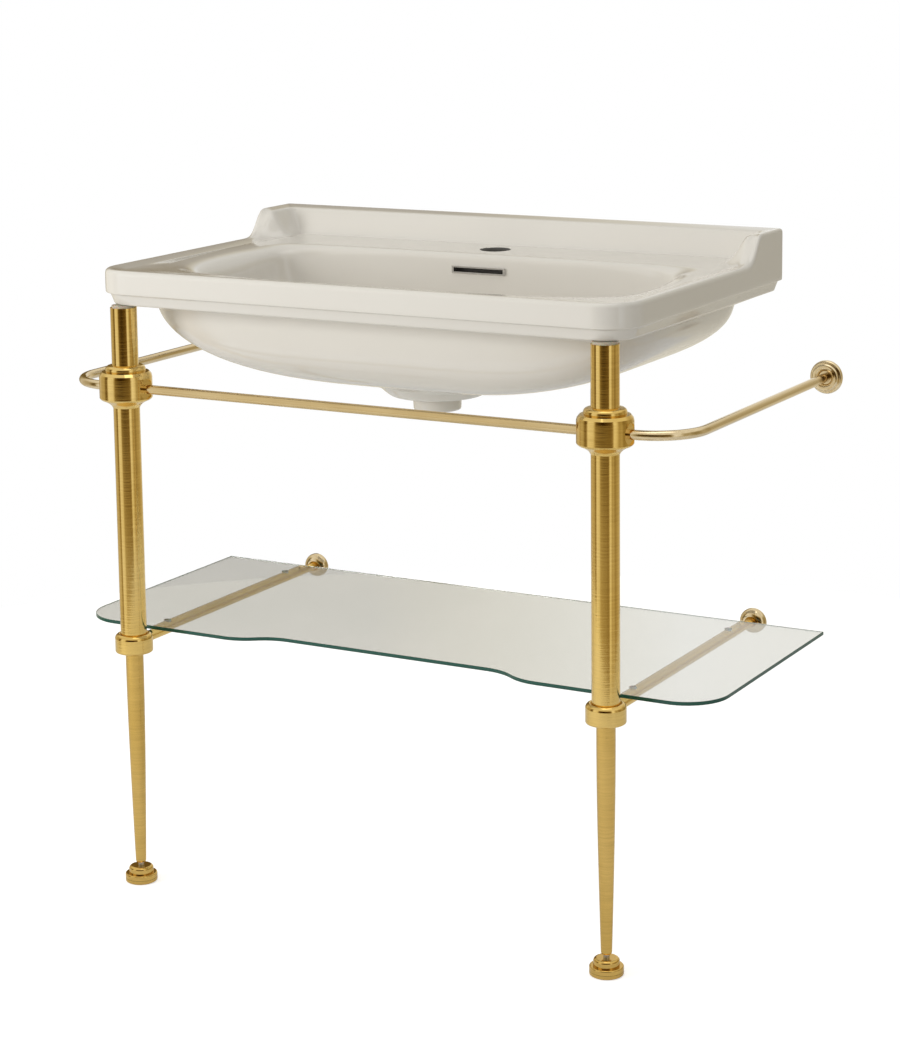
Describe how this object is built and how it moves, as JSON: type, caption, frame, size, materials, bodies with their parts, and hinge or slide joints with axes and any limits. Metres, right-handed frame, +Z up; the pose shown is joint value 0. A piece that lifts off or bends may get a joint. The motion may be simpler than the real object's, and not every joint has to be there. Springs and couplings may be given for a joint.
{
  "type": "console sink with legs",
  "caption": "Wall-hung rectangular console basin on turned brass legs, with a wrap-around towel rail, a lift-off glass shelf and levelling feet.",
  "frame": {"origin": "on the floor, under the middle of the whole object", "axes": "+X to the right of someone facing the basin, +Y towards the wall, +Z up"},
  "size_m": [0.978, 0.516, 0.904],
  "materials": {
    "white_glaze": "warm white gloss glaze",
    "leg_brass": "polished gold brass with fine turning marks",
    "rail_brass": "polished pale brass",
    "raw_brass": "unpolished brass, hidden under the flanges",
    "chrome_trim": "polished chrome",
    "clear_glass": "clear float glass with polished green edges",
    "clear_bumper": "clear soft plastic",
    "pad_rubber": "black non-slip rubber",
    "zinc_steel": "zinc-plated steel"
  },
  "bodies": {
    "stand": {"arm_stud_left": "zinc_steel", "arm_stud_right": "zinc_steel", "basin": "white_glaze", "front_rail": "rail_brass", "grub_screws": "zinc_steel", "leg_insert_left": "leg_brass", "leg_insert_right": "leg_brass", "leg_pad_left": "clear_bumper", "leg_pad_right": "clear_bumper", "middle_tube_left": "leg_brass", "middle_tube_right": "leg_brass", "overflow_trim": "chrome_trim", "rail_drum_left": "leg_brass", "rail_drum_right": "leg_brass", "rail_flange_left": "rail_brass", "rail_flange_right": "rail_brass", "rail_socket_left": "raw_brass", "rail_socket_right": "raw_brass", "shelf_arm_left": "rail_brass", "shelf_arm_right": "rail_brass", "shelf_bumpers": "clear_bumper", "shelf_collar_left": "leg_brass", "shelf_collar_right": "leg_brass", "shelf_flange_left": "rail_brass", "shelf_flange_right": "rail_brass", "shelf_socket_left": "raw_brass", "shelf_socket_right": "raw_brass", "side_rail_left": "rail_brass", "side_rail_right": "rail_brass", "tapered_leg_left": "leg_brass", "tapered_leg_right": "leg_brass", "upper_tube_left": "leg_brass", "upper_tube_right": "leg_brass"},
    "shelf": {"glass_shelf": "clear_glass"},
    "foot_base_left": {"foot_base_left": "leg_brass", "foot_pad_left": "pad_rubber"},
    "foot_screw_left": {"foot_disc_left": "leg_brass", "foot_stud_left": "zinc_steel"},
    "foot_base_right": {"foot_base_right": "leg_brass", "foot_pad_right": "pad_rubber"},
    "foot_screw_right": {"foot_disc_right": "leg_brass", "foot_stud_right": "zinc_steel"}
  },
  "joints": [
    {"name": "shelf_lift", "type": "slide", "parent": "stand", "child": "shelf", "axis": [0, 0, 1], "range_m": [0, 0.15]},
    {"name": "foot_lift_left", "type": "slide", "parent": "stand", "child": "foot_base_left", "axis": [0, 0, -1], "range_m": [-0.0025, 0.0075]},
    {"name": "foot_turn_left", "type": "hinge", "parent": "foot_base_left", "child": "foot_screw_left", "pos_m": [-0.361, -0.222, 0.01], "axis": [0, 0, -1], "range_deg": [-720, 2160]},
    {"name": "foot_lift_right", "type": "slide", "parent": "stand", "child": "foot_base_right", "axis": [0, 0, -1], "range_m": [-0.0025, 0.0075]},
    {"name": "foot_turn_right", "type": "hinge", "parent": "foot_base_right", "child": "foot_screw_right", "pos_m": [0.361, -0.222, 0.01], "axis": [0, 0, -1], "range_deg": [-720, 2160]}
  ],
  "couplings": [
    {"joint": "foot_turn_left", "follows": "foot_lift_left", "rad_per_m": 5026.5},
    {"joint": "foot_turn_right", "follows": "foot_lift_right", "rad_per_m": 5026.5}
  ]
}
